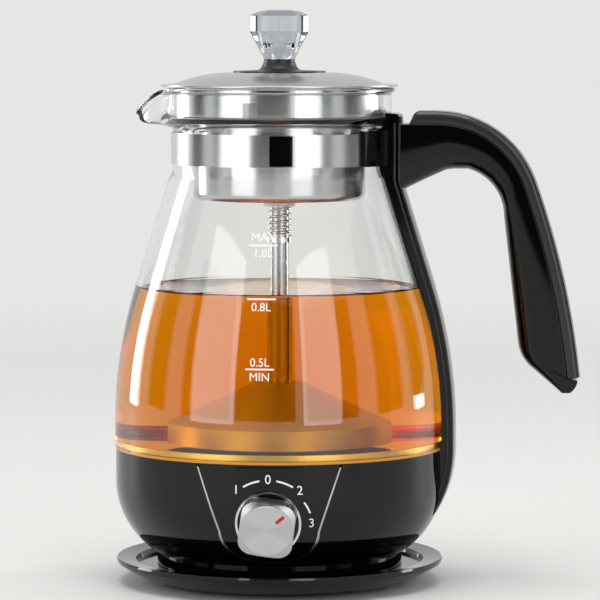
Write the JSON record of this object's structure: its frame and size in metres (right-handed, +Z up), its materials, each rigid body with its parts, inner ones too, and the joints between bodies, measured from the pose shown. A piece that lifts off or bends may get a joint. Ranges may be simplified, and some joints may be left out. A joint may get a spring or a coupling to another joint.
{
  "type": "tea maker",
  "caption": "Cordless steam-spray tea maker: glass jug on a black heater housing with a selector knob, open handle, steel basket, riser tube and lid, on a round power base.",
  "frame": {"origin": "centre of the flat underside of the base's bottom cover, on the jug's axis; the feet stand 2 mm lower", "axes": "+Z up along the jug's axis, +X towards the handle, -X towards the spout, -Y the front with the selector knob"},
  "size_m": [0.1953, 0.1492, 0.2399],
  "materials": {
    "black_gloss": "glossy black moulded plastic",
    "black_matte": "matte black moulded plastic",
    "smoke_panel": "glossy dark grey panel",
    "cover_grey": "grey glossy handle cover",
    "satin_steel": "satin stainless steel",
    "bright_steel": "polished steel",
    "spun_aluminium": "spun satin aluminium",
    "clear_glass": "clear borosilicate glass",
    "clear_crystal": "clear faceted acrylic",
    "silicone": "dark silicone",
    "contact_brass": "brass contact",
    "board_green": "board with components",
    "pointer_red": "red pointer",
    "white_ceramic": "pale moulded part"
  },
  "bodies": {
    "power_base": {"base_dish": "black_gloss", "base_bottom_cover": "black_matte", "base_screws": "bright_steel", "base_feet": "silicone", "base_connector": "black_matte", "base_contact_ring": "contact_brass", "base_contact_pin": "contact_brass", "cord_gland": "silicone"},
    "centring": {"centring_ring": "white_ceramic"},
    "jug": {"jug_housing": "black_gloss", "control_panel": "smoke_panel", "panel_trim": "bright_steel", "dial_collar": "black_gloss", "dial_ring": "bright_steel", "selector_switch": "white_ceramic", "housing_bottom": "black_matte", "housing_screws": "bright_steel", "jug_connector": "white_ceramic", "jug_ring_contact": "contact_brass", "jug_pin_contact": "contact_brass", "pan_seal": "silicone", "heater_pan": "satin_steel", "heat_plate": "spun_aluminium", "heating_element": "satin_steel", "thermostat": "white_ceramic", "thermal_fuse": "white_ceramic", "control_board": "board_green", "glass_body": "clear_glass", "neck_band": "bright_steel", "band_screw": "bright_steel", "band_nut": "bright_steel", "band_badge": "black_gloss", "handle_spine": "black_gloss", "handle_grip": "black_gloss", "handle_cover": "cover_grey", "handle_screws": "bright_steel"},
    "selector_knob": {"knob_cap": "spun_aluminium", "knob_pointer": "pointer_red", "knob_core": "black_matte", "selector_shaft": "black_matte"},
    "basket": {"basket_ring": "bright_steel", "basket_cup": "bright_steel", "basket_seal": "silicone", "tube_bush": "white_ceramic", "basket_catch": "satin_steel", "tube_spring": "bright_steel"},
    "riser": {"riser_tube": "bright_steel", "steam_bell": "satin_steel", "tube_collar": "bright_steel", "tube_clip": "bright_steel"},
    "plate": {"press_plate": "bright_steel"},
    "lid": {"lid_dome": "satin_steel", "lid_skirt": "bright_steel", "knob_stem": "black_gloss", "knob_washer": "silicone", "knob_screw": "bright_steel", "crystal_knob": "clear_crystal"}
  },
  "joints": [
    {"name": "jug_swivel", "type": "hinge", "parent": "power_base", "child": "centring", "pos_m": [0, 0, 0.008], "axis": [0, 0, 1], "continuous": true},
    {"name": "jug_lift", "type": "slide", "parent": "centring", "child": "jug", "axis": [0, 0, 1], "range_m": [0, 0.06]},
    {"name": "knob_turn", "type": "hinge", "parent": "jug", "child": "selector_knob", "pos_m": [0, -0.068, 0.031], "axis": [0, -0.9848, -0.1736], "range_deg": [-40, 95]},
    {"name": "basket_lift", "type": "slide", "parent": "jug", "child": "basket", "axis": [0, 0, 1], "range_m": [0, 0.15]},
    {"name": "riser_slide", "type": "slide", "parent": "basket", "child": "riser", "axis": [0, 0, 1], "range_m": [0, 0.006], "stiffness_N_per_m": 300, "springref_m": -0.01, "deforming": ["tube_spring"]},
    {"name": "plate_float", "type": "slide", "parent": "riser", "child": "plate", "axis": [0, 0, 1], "range_m": [0, 0.028]},
    {"name": "lid_lift", "type": "slide", "parent": "basket", "child": "lid", "axis": [0, 0, 1], "range_m": [0, 0.06]}
  ]
}
